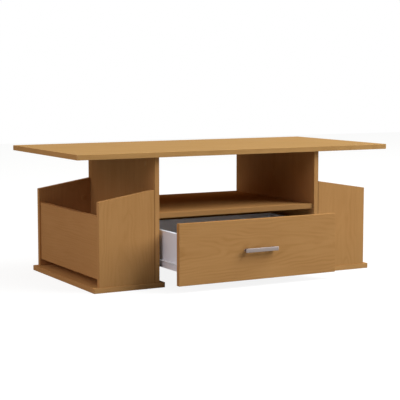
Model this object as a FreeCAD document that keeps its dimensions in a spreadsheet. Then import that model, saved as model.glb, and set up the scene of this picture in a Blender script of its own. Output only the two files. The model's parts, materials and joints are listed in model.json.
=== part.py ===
import FreeCAD, Part
import math
import os
import Sketcher

# Coffee table of beech-faced boards: two uprights on base plates, a magazine box outside each upright,
# a shelf between them and one inset drawer on roller runners, which stands part-way out.
# X runs along the table, +Y to its back, Z up; the origin is on the floor under the middle of the outline.

doc = FreeCAD.newDocument("coffee_table")

# Driving sizes, in millimetres
SIZES = {
    # boards
    "board": 16,
    "edge_round": 0.8,
    "total_height": 410,
    "top_width": 1100,
    "top_depth": 530,
    "top_corner": 4,
    "top_band": 1.5,
    "bay_width": 556,
    "carcase_depth": 490,
    "base_overhang": 17,
    "base_reveal": 2,
    "shelf_level": 225,
    "shelf_setback": 6,
    "rear_panel_height": 184,
    # magazine boxes
    "box_length": 182,
    "box_outer_height": 252,
    "box_inner_height": 281,
    "outer_panel_height": 186,
    "outer_panel_gap": 21,
    "outer_panel_recess": 5,
    # drawer
    "drawer_open": 122,
    "drawer_side_gap": 2,
    "drawer_top_gap": 3,
    "drawer_front_height": 184,
    "drawer_depth": 350,
    "drawer_board": 12,
    "drawer_side_height": 110,
    "drawer_side_raise": 40,
    "bottom_board": 3,
    "bottom_raise": 10,
    "groove_depth": 6,
    "groove_clearance": 0.2,
    # handle
    "handle_length": 116,
    "handle_height": 12,
    "handle_thickness": 6,
    "handle_reach": 18,
    "handle_spacing": 96,
    "handle_post_width": 14,
    "handle_post_height": 9,
    "handle_end_round": 4,
    "handle_round": 1,
    "handle_screw_radius": 2,
    "handle_screw_bite": 9,
    # roller runners
    "runner_room": 12.5,
    "runner_steel": 1.2,
    "runner_height": 26,
    "runner_flange": 9,
    "runner_length": 350,
    "runner_setback": 2,
    "runner_notch": 40,
    "track_width": 8.5,
    "track_gap": 1.6,
    "cabinet_roller_radius": 9,
    "drawer_roller_radius": 11,
    "roller_width": 6,
    "roller_bore": 2.7,
    "roller_hub": 5,
    "roller_dish": 0.8,
    "roller_inset": 16,
    "roller_stand_off": 1.8,
    "roller_clearance": 0.3,
    "pin_radius": 2.5,
    "pin_head_radius": 4,
    "pin_head": 0.7,
    "pin_play": 0.2,
    # cam fittings, dowels and screws
    "fixing_inset": 60,
    "dowel_inset": 120,
    "box_fix_low": 70,
    "box_fix_high": 215,
    "box_dowel_level": 125,
    "rear_dowel_spread": 53,
    "outer_dowel_spread": 55,
    "side_dowel_spread": 30,
    "cam_radius": 7.4,
    "cam_reach": 24,
    "cam_floor": 3.5,
    "cam_slot": 1.2,
    "cam_slot_depth": 2,
    "cam_play": 0.1,
    "cap_radius": 8.6,
    "cap_height": 1.2,
    "cap_round": 0.5,
    "cap_blade": 1,
    "cap_blade_length": 10,
    "cap_blade_depth": 1.6,
    "bolt_radius": 3.4,
    "bolt_neck": 2,
    "bolt_bore": 4,
    "bolt_thread": 2.5,
    "bolt_bite": 10.5,
    "bolt_collar": 3,
    "bolt_head": 3,
    "dowel_radius": 4,
    "dowel_bite": 11,
    "dowel_tail": 18,
    "dowel_lead": 1,
    "fit_play": 0.05,
    "hole_rest": 0.5,
    "base_screw_radius": 3.2,
    "base_screw_head": 5,
    "base_screw_length": 50,
    "box_screw_inset": 45,
    "side_screw_radius": 2,
    "side_screw_head": 4,
    "side_screw_length": 40,
    "side_screw_low": 42,
    "side_screw_high": 88,
    "small_screw_radius": 1.75,
    "small_screw_head": 3.2,
    "small_screw_cap": 1,
    "screw_crown": 0.6,
    "runner_screw_bite": 12,
    "runner_screw_raise": 20,
    "runner_screw_inset": 45,
    "member_screw_bite": 8,
    "bottom_screw_bite": 12,
    "bottom_screw_inset": 75,
}

# Places that follow from the driving sizes
PLACES = {
    "upright_inner": "=sizes.bay_width / 2",
    "upright_mid": "=upright_inner + sizes.board / 2",
    "upright_outer": "=upright_inner + sizes.board",
    "upright_top": "=sizes.total_height - sizes.board",
    "box_end": "=upright_outer + sizes.box_length",
    "base_inner": "=upright_inner - sizes.base_overhang",
    "base_outer": "=box_end + sizes.base_overhang",
    "front_reach": "=sizes.carcase_depth / 2 + sizes.drawer_open + sizes.handle_reach",
    "table_y": "=(front_reach - sizes.top_depth / 2) / 2",
    "carcase_front": "=table_y - sizes.carcase_depth / 2",
    "carcase_rear": "=table_y + sizes.carcase_depth / 2",
    "front_mid": "=carcase_front + sizes.board / 2",
    "rear_mid": "=carcase_rear - sizes.board / 2",
    "front_fix": "=carcase_front + sizes.fixing_inset",
    "rear_fix": "=carcase_rear - sizes.fixing_inset",
    "front_dowel": "=carcase_front + sizes.dowel_inset",
    "rear_dowel": "=carcase_rear - sizes.dowel_inset",
    "shelf_mid": "=sizes.shelf_level - sizes.board / 2",
    "shelf_under": "=sizes.shelf_level - sizes.board",
    "rear_panel_low": "=shelf_under - sizes.rear_panel_height",
    "rear_panel_mid": "=shelf_under - sizes.rear_panel_height / 2",
    "outer_face": "=box_end - sizes.outer_panel_recess",
    "outer_mid": "=outer_face - sizes.board / 2",
    "outer_low": "=sizes.board + sizes.outer_panel_gap",
    "outer_centre": "=outer_low + sizes.outer_panel_height / 2",
    "box_low": "=sizes.board + sizes.box_fix_low",
    "box_high": "=sizes.board + sizes.box_fix_high",
    "box_dowel": "=sizes.board + sizes.box_dowel_level",
    "drawer_face": "=carcase_front - sizes.drawer_open",
    "drawer_inside": "=drawer_face + sizes.board",
    "drawer_end": "=drawer_inside + sizes.drawer_depth",
    "drawer_top": "=shelf_under - sizes.drawer_top_gap",
    "drawer_low": "=drawer_top - sizes.drawer_front_height",
    "drawer_middle": "=drawer_low + sizes.drawer_front_height / 2",
    "front_half": "=upright_inner - sizes.drawer_side_gap",
    "side_outer": "=upright_inner - sizes.runner_room",
    "side_mid": "=side_outer - sizes.drawer_board / 2",
    "side_inner": "=side_outer - sizes.drawer_board",
    "side_low": "=drawer_low + sizes.drawer_side_raise",
    "side_centre": "=side_low + sizes.drawer_side_height / 2",
    "bottom_low": "=side_low + sizes.bottom_raise",
    "bottom_top": "=bottom_low + sizes.bottom_board",
    "bottom_half": "=side_inner + sizes.groove_depth - sizes.groove_clearance",
    "bottom_front": "=drawer_inside - sizes.groove_depth + sizes.groove_clearance",
    "back_mid": "=drawer_end - sizes.drawer_board / 2",
    "bar_front": "=drawer_face - sizes.handle_reach",
    "bar_back": "=bar_front + sizes.handle_thickness",
    "runner_low": "=side_low - sizes.runner_steel",
    "runner_front": "=carcase_front + sizes.board + sizes.runner_setback",
    "track_top": "=sizes.runner_height - sizes.runner_steel - sizes.track_gap",
    "track_under": "=track_top - sizes.runner_steel",
    "cabinet_axle_y": "=runner_front + sizes.roller_inset",
    "cabinet_axle_z": "=runner_low + track_under - sizes.roller_clearance - sizes.cabinet_roller_radius",
    "drawer_axle_y": "=drawer_end - sizes.roller_inset",
    "drawer_axle_z": "=runner_low + sizes.runner_steel + sizes.roller_clearance + sizes.drawer_roller_radius",
    "roller_near": "=upright_inner - sizes.runner_steel - sizes.roller_stand_off",
    "roller_far": "=roller_near - sizes.roller_width",
}


def fill(name, cells):
    sheet = doc.addObject("Spreadsheet::Sheet", name)
    for row, (alias, content) in enumerate(cells.items(), start=1):
        sheet.set(f"A{row}", alias)
        sheet.set(f"B{row}", str(content))
        sheet.setAlias(f"B{row}", alias)
    return sheet


fill("sizes", SIZES)
places = fill("places", PLACES)
doc.recompute()


def number(expression):
    return float(places.evalExpression(expression))


def point(at):
    return FreeCAD.Vector(*(number(value) for value in at))


# How a piece drawn flat stands in the table: its drawn X, Y and thickness take these directions
FLAT = FreeCAD.Rotation()
FACING_X = FreeCAD.Rotation(FreeCAD.Vector(1, 1, 1), 120)
FACING_FRONT = FreeCAD.Rotation(FreeCAD.Vector(1, 0, 0), 90)

UP = (0, 0, 1)
DOWN = (0, 0, -1)
BACK = (0, 1, 0)
FORTH = (0, -1, 0)
SIDES = {"left": -1, "right": 1}

parts = []
holes = {}


def bind(item, **expressions):
    for prop, expression in expressions.items():
        item.setExpression(prop, expression)


def stand(item, turn, at):
    item.Placement = FreeCAD.Placement(FreeCAD.Vector(), turn)
    for axis, expression in zip("xyz", at):
        item.setExpression(f"Placement.Base.{axis}", expression)


def keep(item, label):
    item.Label = label
    parts.append(item)
    return item


def drawn_outline(body, corners):
    """Closed outline in the body's own plane, every corner held by its two expressions."""
    sketch = body.newObject("Sketcher::SketchObject", "outline")
    plane = next(item for item in body.Origin.OriginFeatures if item.Role == "XY_Plane")
    sketch.AttachmentSupport = [(plane, "")]
    sketch.MapMode = "FlatFace"
    spots = [FreeCAD.Vector(number(across), number(along), 0) for across, along in corners]
    for index, spot in enumerate(spots):
        following = spots[(index + 1) % len(spots)]
        sketch.addGeometry(Part.LineSegment(spot, following))
    for index in range(len(spots)):
        sketch.addConstraint(Sketcher.Constraint("Coincident", index, 2, (index + 1) % len(spots), 1))
    for index, corner in enumerate(corners):
        hold_corner(sketch, index, corner)
    return sketch


def hold_corner(sketch, index, corner):
    for kind, axis, expression in (("DistanceX", -2, corner[0]), ("DistanceY", -1, corner[1])):
        if expression == "0":
            sketch.addConstraint(Sketcher.Constraint("PointOnObject", index, 1, axis))
            continue
        name = f"{kind}{index}"
        made = sketch.addConstraint(Sketcher.Constraint(kind, -1, 1, index, 1, number(expression)))
        sketch.renameConstraint(made, name)
        sketch.setExpression(f"Constraints.{name}", expression)


def prism(name, corners, depth, turn, at):
    """Piece of one outline and one thickness."""
    body = doc.addObject("PartDesign::Body", name)
    sketch = drawn_outline(body, corners)
    pad = body.newObject("PartDesign::Pad", "thickness")
    pad.Profile = sketch
    bind(pad, Length=depth)
    sketch.Visibility = False
    stand(body, turn, at)
    doc.recompute()
    return body


def turned(name, corners, turn, at):
    """Piece turned about its drawn X axis."""
    body = doc.addObject("PartDesign::Body", name)
    sketch = drawn_outline(body, corners)
    spin = body.newObject("PartDesign::Revolution", "turning")
    spin.Profile = sketch
    spin.ReferenceAxis = (sketch, ["H_Axis"])
    spin.Angle = 360
    stand(body, turn, at)
    doc.recompute()
    return body


def soften(body, radius, chosen=None):
    """Rounds the edges of a body, all of them unless a test chooses some."""
    base = body.Tip
    picked = [f"Edge{index}" for index, edge in enumerate(base.Shape.Edges, start=1)
              if chosen is None or chosen(edge)]
    fillet = body.newObject("PartDesign::Fillet", "softened")
    fillet.Base = (base, picked)
    bind(fillet, Radius=radius)
    doc.recompute()
    return body


def rectangle(length, width):
    return [("0", "0"), (length, "0"), (length, width), ("0", width)]


def board(name, corners, turn, at, thickness="sizes.board"):
    return soften(prism(name, corners, thickness, turn, at), "sizes.edge_round")


def along(at, way, distance):
    """A place moved along a direction by an expression."""
    return tuple(value if step == 0 else f"{value} + ({step}) * ({distance})" for value, step in zip(at, way))


def drill(label, radius, depth, at, way):
    """One round hole in a named piece; the right-hand pieces mirror the left ones."""
    if label.startswith("right_"):
        return
    hole = doc.addObject("Part::Cylinder", "drill")
    stand(hole, FreeCAD.Rotation(FreeCAD.Vector(0, 0, 1), FreeCAD.Vector(*way)), at)
    bind(hole, Radius=radius, Height=depth)
    holes.setdefault(label, []).append(hole)


def sink(label, radius, head, depth, at, way):
    """Countersink that narrows from a screw head to its shank."""
    if label.startswith("right_"):
        return
    cone = doc.addObject("Part::Cone", "countersink")
    stand(cone, FreeCAD.Rotation(FreeCAD.Vector(0, 0, 1), FreeCAD.Vector(*way)), at)
    bind(cone, Radius1=head, Radius2=radius, Height=depth)
    holes.setdefault(label, []).append(cone)


def slot(label, length, width, height, at):
    """Straight groove cut into a named piece."""
    groove = doc.addObject("Part::Box", "groove")
    stand(groove, FLAT, at)
    bind(groove, Length=length, Width=width, Height=height)
    holes.setdefault(label, []).append(groove)


def bored(blank, label):
    """The piece with everything that was drilled or cut into it."""
    if label not in holes:
        return keep(blank, label)
    tools = doc.addObject("Part::MultiFuse", "borings")
    tools.Shapes = holes[label]
    cut = doc.addObject("Part::Cut", label)
    cut.Base = blank
    cut.Tool = tools if len(holes[label]) > 1 else holes[label][0]
    return keep(cut, label)


def both_hands(blank, name):
    """The left piece and its mirror image on the right."""
    left = bored(blank, f"left_{name}")
    right = doc.addObject("Part::Mirroring", f"right_{name}")
    right.Source = left
    right.Normal = FreeCAD.Vector(1, 0, 0)
    keep(right, f"right_{name}")


def lathe(profile):
    """Solid of revolution about Z from (radius, height) corners that start and end on the axis."""
    corners = [FreeCAD.Vector(radius, 0, height) for radius, height in profile]
    outline = Part.Face(Part.makePolygon(corners + corners[:1]))
    return outline.revolve(FreeCAD.Vector(), FreeCAD.Vector(0, 0, 1), 360)


def group(label, shape, spots):
    """Identical small pieces in one node, each at its place and pointing its way."""
    copies = []
    for at, way in spots:
        turn = FreeCAD.Rotation(FreeCAD.Vector(0, 0, 1), FreeCAD.Vector(*way))
        copies.append(shape.copy().transformed(FreeCAD.Placement(point(at), turn).toMatrix()))
    item = doc.addObject("Part::Feature", label)
    item.Shape = Part.makeCompound(copies)
    return keep(item, label)


# Where the fittings go

cam_spots = {"": [], "drawer_": []}
bolt_spots = {"": [], "drawer_": []}
dowel_spots = {"": [], "drawer_": []}
base_screw_spots = []
side_screw_spots = []
cabinet_screw_spots = []
member_screw_spots = []
bottom_screw_spots = []
handle_screw_spots = []


def cam_fixing(edge_board, face_board, at, way, cam_way, owner="", thickness="sizes.board"):
    """Bolt from the edge of one board into the face of the next, drawn up by a cam in the first."""
    centre = along(at, way, "-sizes.cam_reach")
    mouth = along(centre, cam_way, f"{thickness} / 2")
    inward = tuple(-step for step in cam_way)
    drill(face_board, "sizes.bolt_thread + sizes.fit_play", "sizes.bolt_bite + sizes.hole_rest", at, way)
    drill(edge_board, "sizes.bolt_bore", "sizes.cam_reach", centre, way)
    drill(edge_board, "sizes.cam_radius + sizes.cam_play", f"{thickness} - sizes.cam_floor", mouth, inward)
    bolt_spots[owner].append((at, way))
    cam_spots[owner].append((mouth, inward, way))


def dowel(edge_board, face_board, at, way, owner=""):
    """Dowel with its tail in the edge of one board and its nose in the face of the next."""
    back = tuple(-step for step in way)
    drill(face_board, "sizes.dowel_radius + sizes.fit_play", "sizes.dowel_bite + sizes.hole_rest", at, way)
    drill(edge_board, "sizes.dowel_radius + sizes.fit_play", "sizes.dowel_tail + sizes.hole_rest", at, back)
    dowel_spots[owner].append((at, way))


def countersunk(outer_board, inner_board, at, way, thickness, name, spots):
    """Countersunk screw through one board into the edge of the next."""
    radius = f"sizes.{name}_radius + sizes.fit_play"
    head = f"sizes.{name}_head + sizes.fit_play"
    sunk = f"sizes.{name}_head - sizes.{name}_radius"
    bite = f"sizes.{name}_length + sizes.hole_rest - {thickness}"
    drill(outer_board, radius, thickness, at, way)
    sink(outer_board, radius, head, sunk, at, way)
    drill(inner_board, radius, bite, along(at, way, thickness), way)
    spots.append((at, way))


def fit_uprights(hand, side):
    upright = f"{hand}_upright"
    outward = (side, 0, 0)
    inner = f"{side} * places.upright_inner"
    middle = f"{side} * places.upright_mid"
    for y in ("places.front_fix", "places.rear_fix"):
        cam_fixing(upright, "table_top", (middle, y, "places.upright_top"), UP, outward)
        cam_fixing("shelf", upright, (inner, y, "places.shelf_mid"), outward, DOWN)
    for y in ("places.front_dowel", "places.rear_dowel"):
        dowel(upright, "table_top", (middle, y, "places.upright_top"), UP)
        dowel("shelf", upright, (inner, y, "places.shelf_mid"), outward)
    cam_fixing("rear_panel", upright, (inner, "places.rear_mid", "places.rear_panel_mid"), outward, BACK)
    for sign in ("+", "-"):
        level = f"places.rear_panel_mid {sign} sizes.rear_dowel_spread"
        dowel("rear_panel", upright, (inner, "places.rear_mid", level), outward)
    for y in ("places.front_fix", "places.table_y", "places.rear_fix"):
        countersunk(f"{hand}_base_plate", upright, (middle, y, "0"), UP, "sizes.board",
                    "base_screw", base_screw_spots)


def fit_box(hand, side):
    inward = (-side, 0, 0)
    upright_face = f"{side} * places.upright_outer"
    outer_middle = f"{side} * places.outer_mid"
    near = f"{side} * (places.upright_outer + sizes.box_screw_inset)"
    far = f"{side} * (places.box_end - sizes.box_screw_inset)"
    ends = (("front_panel", "places.front_mid", "places.carcase_front + sizes.board", BACK, FORTH),
            ("back_panel", "places.rear_mid", "places.carcase_rear - sizes.board", FORTH, BACK))
    for name, middle, inner_face, into_box, out_of_box in ends:
        panel = f"{hand}_{name}"
        for level in ("places.box_low", "places.box_high"):
            cam_fixing(panel, f"{hand}_upright", (upright_face, middle, level), inward, into_box)
        dowel(panel, f"{hand}_upright", (upright_face, middle, "places.box_dowel"), inward)
        cam_fixing(f"{hand}_outer_panel", panel, (outer_middle, inner_face, "places.outer_centre"),
                   out_of_box, inward)
        for sign in ("+", "-"):
            level = f"places.outer_centre {sign} sizes.outer_dowel_spread"
            dowel(f"{hand}_outer_panel", panel, (outer_middle, inner_face, level), out_of_box)
        for x in (near, far):
            countersunk(f"{hand}_base_plate", panel, (x, middle, "0"), UP, "sizes.board",
                        "base_screw", base_screw_spots)


def fit_drawer(hand, side):
    inward = (-side, 0, 0)
    panel = f"{hand}_drawer_side"
    middle = f"{side} * places.side_mid"
    cam_fixing(panel, "drawer_front", (middle, "places.drawer_inside", "places.side_centre"), FORTH, inward,
               "drawer_", "sizes.drawer_board")
    for sign in ("+", "-"):
        level = f"places.side_centre {sign} sizes.side_dowel_spread"
        dowel(panel, "drawer_front", (middle, "places.drawer_inside", level), FORTH, "drawer_")
    for level in ("sizes.side_screw_low", "sizes.side_screw_high"):
        spot = (f"{side} * places.side_outer", "places.back_mid", f"places.side_low + {level}")
        countersunk(panel, "drawer_back", spot, inward, "sizes.drawer_board", "side_screw", side_screw_spots)
    handle_x = f"{side} * sizes.handle_spacing / 2"
    handle_spot = (handle_x, "places.drawer_inside", "places.drawer_middle")
    drill("drawer_front", "sizes.handle_screw_radius + sizes.pin_play", "sizes.board", handle_spot, FORTH)
    handle_screw_spots.append((handle_spot, FORTH))
    bottom_x = f"{side} * (places.side_inner - sizes.bottom_screw_inset)"
    bottom_spot = (bottom_x, "places.back_mid", "places.bottom_low")
    screw_hole = "sizes.small_screw_radius + sizes.fit_play"
    drill("drawer_bottom", screw_hole, "sizes.bottom_board", bottom_spot, UP)
    drill("drawer_back", screw_hole, "sizes.bottom_screw_bite + sizes.hole_rest",
          along(bottom_spot, UP, "sizes.bottom_board"), UP)
    bottom_screw_spots.append((bottom_spot, UP))


def fit_runners(hand, side):
    outward = (side, 0, 0)
    screw_hole = "sizes.small_screw_radius + sizes.fit_play"
    steps = ("sizes.runner_screw_inset", "sizes.runner_length / 2",
             "sizes.runner_length - sizes.runner_screw_inset")
    for step in steps:
        face = (f"{side} * (places.upright_inner - sizes.runner_steel)", f"places.runner_front + {step}",
                "places.runner_low + sizes.runner_screw_raise")
        drill(f"{hand}_cabinet_runner", screw_hole, "sizes.runner_steel", face, outward)
        drill(f"{hand}_upright", screw_hole, "sizes.runner_screw_bite + sizes.hole_rest",
              along(face, outward, "sizes.runner_steel"), outward)
        cabinet_screw_spots.append((face, outward))
    member_steps = ("sizes.runner_screw_inset", "sizes.drawer_depth / 2",
                    "sizes.drawer_depth - sizes.runner_screw_inset")
    for step in member_steps:
        under = (f"{side} * places.side_mid", f"places.drawer_inside + {step}", "places.runner_low")
        drill(f"{hand}_drawer_runner", screw_hole, "sizes.runner_steel", under, UP)
        drill(f"{hand}_drawer_side", screw_hole, "sizes.member_screw_bite + sizes.hole_rest",
              along(under, UP, "sizes.runner_steel"), UP)
        member_screw_spots.append((under, UP))
    pin_hole = "sizes.pin_radius + sizes.fit_play"
    cabinet_pin = (f"{side} * places.upright_inner", "places.cabinet_axle_y", "places.cabinet_axle_z")
    drawer_pin = (f"{side} * places.side_outer", "places.drawer_axle_y", "places.drawer_axle_z")
    inward = (-side, 0, 0)
    drill(f"{hand}_cabinet_runner", pin_hole, "sizes.runner_steel", cabinet_pin, inward)
    drill(f"{hand}_drawer_runner", pin_hole, "sizes.runner_steel", drawer_pin, outward)
    return (cabinet_pin, inward), (drawer_pin, outward)


cabinet_pin_spots = []
drawer_pin_spots = []
for hand, side in SIDES.items():
    fit_uprights(hand, side)
    fit_box(hand, side)
    fit_drawer(hand, side)
    cabinet_pin, drawer_pin = fit_runners(hand, side)
    cabinet_pin_spots.append(cabinet_pin)
    drawer_pin_spots.append(drawer_pin)


# Table top with its edge band

def upright_edge(edge):
    first, last = edge.Vertexes[0].Point, edge.Vertexes[-1].Point
    return math.hypot(first.x - last.x, first.y - last.y) < 0.001


def level_edge(edge):
    return not upright_edge(edge)


def top_slab(name, inset):
    corner = ("-sizes.top_width / 2 + " + inset, "places.table_y - sizes.top_depth / 2 + " + inset,
              "places.upright_top")
    outline = rectangle(f"sizes.top_width - 2 * {inset}", f"sizes.top_depth - 2 * {inset}")
    slab = prism(name, outline, "sizes.board", FLAT, corner)
    return soften(slab, f"sizes.top_corner - {inset}", upright_edge)


table_top = top_slab("table_top_board", "sizes.top_band")
bored(table_top, "table_top")
rim = soften(top_slab("table_top_rim", "0 * sizes.top_band"), "sizes.edge_round", level_edge)
edge_band = doc.addObject("Part::Cut", "table_top_edge_band")
edge_band.Base = rim
edge_band.Tool = table_top
keep(edge_band, "table_top_edge_band")

# Carcase boards

base_plate = board(
    "base_plate_board",
    rectangle("places.base_outer - places.base_inner", "sizes.carcase_depth + 2 * sizes.base_reveal"),
    FLAT, ("-places.base_outer", "places.carcase_front - sizes.base_reveal", "0"))
both_hands(base_plate, "base_plate")

upright = board(
    "upright_board",
    rectangle("sizes.carcase_depth", "places.upright_top - sizes.board"),
    FACING_X, ("-places.upright_outer", "places.carcase_front", "sizes.board"))
both_hands(upright, "upright")

sloped = [("0", "0"), ("sizes.box_length", "0"), ("sizes.box_length", "sizes.box_inner_height"),
          ("0", "sizes.box_outer_height")]
front_panel = board(
    "front_panel_board", sloped,
    FACING_FRONT, ("-places.box_end", "places.carcase_front + sizes.board", "sizes.board"))
both_hands(front_panel, "front_panel")
back_panel = board(
    "back_panel_board", sloped,
    FACING_FRONT, ("-places.box_end", "places.carcase_rear", "sizes.board"))
both_hands(back_panel, "back_panel")

outer_panel = board(
    "outer_panel_board",
    rectangle("sizes.carcase_depth - 2 * sizes.board", "sizes.outer_panel_height"),
    FACING_X, ("-places.outer_face", "places.carcase_front + sizes.board", "places.outer_low"))
both_hands(outer_panel, "outer_panel")

shelf = board(
    "shelf_board",
    rectangle("sizes.bay_width", "sizes.carcase_depth - sizes.shelf_setback"),
    FLAT, ("-places.upright_inner", "places.carcase_front + sizes.shelf_setback", "places.shelf_under"))
bored(shelf, "shelf")

rear_panel = board(
    "rear_panel_board",
    rectangle("sizes.bay_width", "sizes.rear_panel_height"),
    FACING_FRONT, ("-places.upright_inner", "places.carcase_rear", "places.rear_panel_low"))
bored(rear_panel, "rear_panel")

# Drawer boards

groove_height = "sizes.bottom_board + 2 * sizes.groove_clearance"
groove_low = "places.bottom_low - sizes.groove_clearance"
slot("drawer_front", "2 * places.side_inner + 2 * sizes.groove_depth", "sizes.groove_depth", groove_height,
     ("-places.side_inner - sizes.groove_depth", "places.drawer_inside - sizes.groove_depth", groove_low))
slot("left_drawer_side", "sizes.groove_depth", "sizes.drawer_depth", groove_height,
     ("-places.side_inner - sizes.groove_depth", "places.drawer_inside", groove_low))

drawer_front = board(
    "drawer_front_board",
    rectangle("2 * places.front_half", "sizes.drawer_front_height"),
    FACING_FRONT, ("-places.front_half", "places.drawer_inside", "places.drawer_low"))
bored(drawer_front, "drawer_front")

drawer_side = board(
    "drawer_side_board",
    rectangle("sizes.drawer_depth", "sizes.drawer_side_height"),
    FACING_X, ("-places.side_outer", "places.drawer_inside", "places.side_low"), "sizes.drawer_board")
both_hands(drawer_side, "drawer_side")

drawer_back = board(
    "drawer_back_board",
    rectangle("2 * places.side_inner", "places.side_low + sizes.drawer_side_height - places.bottom_top"),
    FACING_FRONT, ("-places.side_inner", "places.drawer_end", "places.bottom_top"), "sizes.drawer_board")
bored(drawer_back, "drawer_back")

drawer_bottom = prism(
    "drawer_bottom_board",
    rectangle("2 * places.bottom_half", "places.drawer_end - places.bottom_front"),
    "sizes.bottom_board", FLAT, ("-places.bottom_half", "places.bottom_front", "places.bottom_low"))
bored(drawer_bottom, "drawer_bottom")

# Handle

def front_end(edge):
    """The two edges where the front of the bar turns back at its ends."""
    first, last = edge.Vertexes[0].Point, edge.Vertexes[-1].Point
    return abs(first.y - last.y) > 0.001 and first.z > 0.001


handle_bar = prism(
    "handle_bar_blank",
    rectangle("sizes.handle_length", "sizes.handle_height"),
    "sizes.handle_thickness", FACING_FRONT,
    ("-sizes.handle_length / 2", "places.bar_back", "places.drawer_middle - sizes.handle_height / 2"))
soften(handle_bar, "sizes.handle_end_round", front_end)
keep(soften(handle_bar, "sizes.handle_round"), "handle_bar")


def handle_post():
    """Square post with a bore for the screw that comes through the drawer front."""
    width = number("sizes.handle_post_width")
    height = number("sizes.handle_post_height")
    length = number("sizes.handle_reach - sizes.handle_thickness")
    block = Part.makeBox(width, height, length, FreeCAD.Vector(-width / 2, -height / 2, 0))
    block = block.makeFillet(number("sizes.handle_round"), [edge for edge in block.Edges if upright_edge(edge)])
    return block.cut(Part.makeCylinder(number("sizes.handle_screw_radius + sizes.fit_play"),
                                       number("sizes.handle_screw_bite + sizes.hole_rest")))


post_spots = [((f"{side} * sizes.handle_spacing / 2", "places.drawer_face", "places.drawer_middle"), FORTH)
              for side in SIDES.values()]
group("handle_posts", handle_post(), post_spots)

# Roller runners: a channel on the upright, a track under the drawer side and a roller on each

channel = [("0", "0"), ("sizes.runner_steel + sizes.runner_flange", "0"),
           ("sizes.runner_steel + sizes.runner_flange", "sizes.runner_steel"),
           ("sizes.runner_steel", "sizes.runner_steel"),
           ("sizes.runner_steel", "sizes.runner_height - sizes.runner_steel"),
           ("sizes.runner_steel + sizes.runner_flange", "sizes.runner_height - sizes.runner_steel"),
           ("sizes.runner_steel + sizes.runner_flange", "sizes.runner_height"), ("0", "sizes.runner_height")]
cabinet_runner = prism(
    "cabinet_runner_channel", channel, "sizes.runner_length", FACING_FRONT,
    ("-places.upright_inner", "places.runner_front + sizes.runner_length", "places.runner_low"))
slot("left_cabinet_runner", "sizes.runner_flange", "sizes.runner_notch", "sizes.runner_steel",
     ("-places.upright_inner + sizes.runner_steel", "places.runner_front",
      "places.runner_low + sizes.runner_height - sizes.runner_steel"))
both_hands(cabinet_runner, "cabinet_runner")

track_out = "sizes.track_width"
web_in = "sizes.track_width + sizes.runner_steel"
track = [(track_out, "0"), (f"{web_in} + sizes.drawer_board", "0"),
         (f"{web_in} + sizes.drawer_board", "sizes.runner_steel"), (web_in, "sizes.runner_steel"),
         (web_in, "places.track_top"), ("0", "places.track_top"), ("0", "places.track_under"),
         (track_out, "places.track_under")]
drawer_runner = prism(
    "drawer_runner_track", track, "sizes.drawer_depth", FACING_FRONT,
    ("-places.side_outer - sizes.runner_steel - sizes.track_width", "places.drawer_end", "places.runner_low"))
track_end = "2 * sizes.roller_inset"
slot("left_drawer_runner", "sizes.track_width", track_end, "sizes.runner_steel",
     ("-places.side_outer - sizes.runner_steel - sizes.track_width", f"places.drawer_end - {track_end}",
      "places.runner_low + places.track_under"))
both_hands(drawer_runner, "drawer_runner")


def roller(name, radius, at):
    """Nylon roller dished on both faces between its hub and its tread."""
    rim_edge = f"{radius} - sizes.roller_dish"
    far_dish = "sizes.roller_width - sizes.roller_dish"
    profile = [("0", "sizes.roller_bore"), ("0", "sizes.roller_hub"),
               ("sizes.roller_dish", "sizes.roller_hub"),
               ("sizes.roller_dish", f"{rim_edge} - sizes.roller_dish"),
               ("0", rim_edge), ("sizes.roller_dish", radius), (far_dish, radius),
               ("sizes.roller_width", rim_edge), (far_dish, f"{rim_edge} - sizes.roller_dish"),
               (far_dish, "sizes.roller_hub"), ("sizes.roller_width", "sizes.roller_hub"),
               ("sizes.roller_width", "sizes.roller_bore")]
    return turned(name, profile, FLAT, at)


cabinet_axle = ("-places.roller_near", "places.cabinet_axle_y", "places.cabinet_axle_z")
both_hands(roller("cabinet_roller_blank", "sizes.cabinet_roller_radius", cabinet_axle), "cabinet_roller")
drawer_axle = ("-places.roller_near", "places.drawer_axle_y", "places.drawer_axle_z")
both_hands(roller("drawer_roller_blank", "sizes.drawer_roller_radius", drawer_axle), "drawer_roller")


def roller_pin(length):
    """Riveted pin whose head keeps the roller on."""
    shank = number("sizes.pin_radius")
    head = number("sizes.pin_head_radius")
    top = length + number("sizes.pin_head")
    return lathe([(0, 0), (shank, 0), (shank, length), (head, length), (head, top), (0, top)])


cabinet_pin_length = number("places.upright_inner - places.roller_far + sizes.pin_play")
group("cabinet_roller_pins", roller_pin(cabinet_pin_length), cabinet_pin_spots)
drawer_pin_length = number("places.roller_near - places.side_outer + sizes.pin_play")
group("drawer_roller_pins", roller_pin(drawer_pin_length), drawer_pin_spots)


# Fittings

def cam_bolt():
    """Thread, collar, neck and head, with the joint between the boards at zero."""
    thread = number("sizes.bolt_thread")
    wide = number("sizes.bolt_radius")
    neck = number("sizes.bolt_neck")
    bite = number("sizes.bolt_bite")
    collar = -number("sizes.bolt_collar")
    reach = -number("sizes.cam_reach")
    head = number("sizes.bolt_head")
    return lathe([(0, bite), (thread, bite - thread / 2), (thread, 0), (wide, 0), (wide, collar),
                  (neck, collar), (neck, reach + head), (wide, reach + head / 2), (wide, reach), (0, reach)])


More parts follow.
